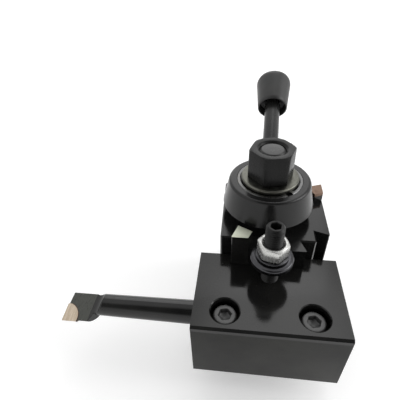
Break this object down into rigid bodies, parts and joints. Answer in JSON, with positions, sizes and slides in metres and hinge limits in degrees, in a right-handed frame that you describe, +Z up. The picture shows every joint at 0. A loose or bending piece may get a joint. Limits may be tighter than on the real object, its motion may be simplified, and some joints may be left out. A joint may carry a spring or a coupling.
{
  "type": "quick change tool post",
  "caption": "Square lathe tool post with two dovetails, a lever-turned cap that raises clamping wedges, and a bored bar holder hung on the front.",
  "frame": {"origin": "centre of the T-nut's underside, on the stud axis", "axes": "+Z up along the stud, +Y towards the lever, the tool holder hangs on the -Y side and the boring bar points to -X"},
  "size_m": [0.1271, 0.1468, 0.1056],
  "materials": {
    "black_oxide": "black-oxided steel, semi-gloss",
    "drum_steel": "dark oiled steel",
    "bar_black": "black-oxided bar",
    "zinc": "bright zinc plate",
    "ground_steel": "ground bare steel",
    "aged_steel": "ground steel with a brownish tint",
    "spring_steel": "spring steel",
    "screw_steel": "dark alloy steel",
    "knob_plastic": "black satin phenolic",
    "carbide": "champagne coated carbide"
  },
  "bodies": {
    "base": {"t_nut": "drum_steel", "centre_stud": "screw_steel"},
    "post": {"post_body": "black_oxide", "centre_sleeve": "drum_steel", "thrust_collar": "black_oxide", "top_washer": "ground_steel"},
    "clamp_nut": {"centre_nut": "black_oxide"},
    "cap": {"cam_cap": "black_oxide", "cam_drum": "drum_steel", "cam_dowels": "aged_steel", "snap_ring": "spring_steel", "lever_rod": "black_oxide", "lever_knob": "knob_plastic"},
    "front_gib": {"front_wedge": "ground_steel", "front_wedge_pin": "aged_steel"},
    "side_gib": {"side_wedge": "aged_steel", "side_wedge_pin": "aged_steel"},
    "height_carrier": {"height_spacer": "zinc"},
    "height_nuts": {"height_flange_nut": "black_oxide", "height_lock_nut": "zinc"},
    "holder": {"tool_holder": "black_oxide", "height_screw": "screw_steel"},
    "left_clamp": {"clamp_screw_left": "screw_steel"},
    "right_clamp": {"clamp_screw_right": "screw_steel"},
    "bar": {"boring_bar": "bar_black", "carbide_tip": "carbide"}
  },
  "joints": [
    {"name": "post_swivel", "type": "hinge", "parent": "base", "child": "post", "pos_m": [0, 0, 0.014], "axis": [0, 0, 1], "continuous": true},
    {"name": "clamp_nut_turn", "type": "hinge", "parent": "base", "child": "clamp_nut", "pos_m": [0, 0, 0.0815], "axis": [0, 0, 1], "range_deg": [0, 180]},
    {"name": "lever_turn", "type": "hinge", "parent": "post", "child": "cap", "pos_m": [0, 0, 0.0605], "axis": [0, 0, 1], "range_deg": [0, 100]},
    {"name": "front_wedge_slide", "type": "slide", "parent": "post", "child": "front_gib", "axis": [0.0523, 0, -0.9986], "range_m": [0, 0.004]},
    {"name": "side_wedge_slide", "type": "slide", "parent": "post", "child": "side_gib", "axis": [0, -0.0523, -0.9986], "range_m": [0, 0.004]},
    {"name": "holder_lift", "type": "slide", "parent": "post", "child": "holder", "axis": [0, 0, 1], "range_m": [0, 0.055]},
    {"name": "height_nut_turn", "type": "hinge", "parent": "height_carrier", "child": "height_nuts", "pos_m": [0.00105, -0.0347, 0.0605], "axis": [0, 0, 1], "range_deg": [0, 2160]},
    {"name": "height_adjust", "type": "slide", "parent": "holder", "child": "height_carrier", "axis": [0, 0, 1], "range_m": [0, 0.0075]},
    {"name": "left_clamp_turn", "type": "hinge", "parent": "holder", "child": "left_clamp", "pos_m": [-0.01775, -0.0542, 0.04], "axis": [0, 0, 1], "range_deg": [0, 270]},
    {"name": "right_clamp_turn", "type": "hinge", "parent": "holder", "child": "right_clamp", "pos_m": [0.01865, -0.0542, 0.04], "axis": [0, 0, 1], "range_deg": [0, 270]},
    {"name": "bar_slide", "type": "slide", "parent": "holder", "child": "bar", "axis": [1, 0, 0], "range_m": [-0.015, 0.04]}
  ],
  "couplings": [
    {"joint": "front_wedge_slide", "follows": "lever_turn", "m_per_rad": 0.0022918},
    {"joint": "side_wedge_slide", "follows": "lever_turn", "m_per_rad": 0.0022918},
    {"joint": "height_nut_turn", "follows": "height_adjust", "rad_per_m": 5026.5}
  ]
}
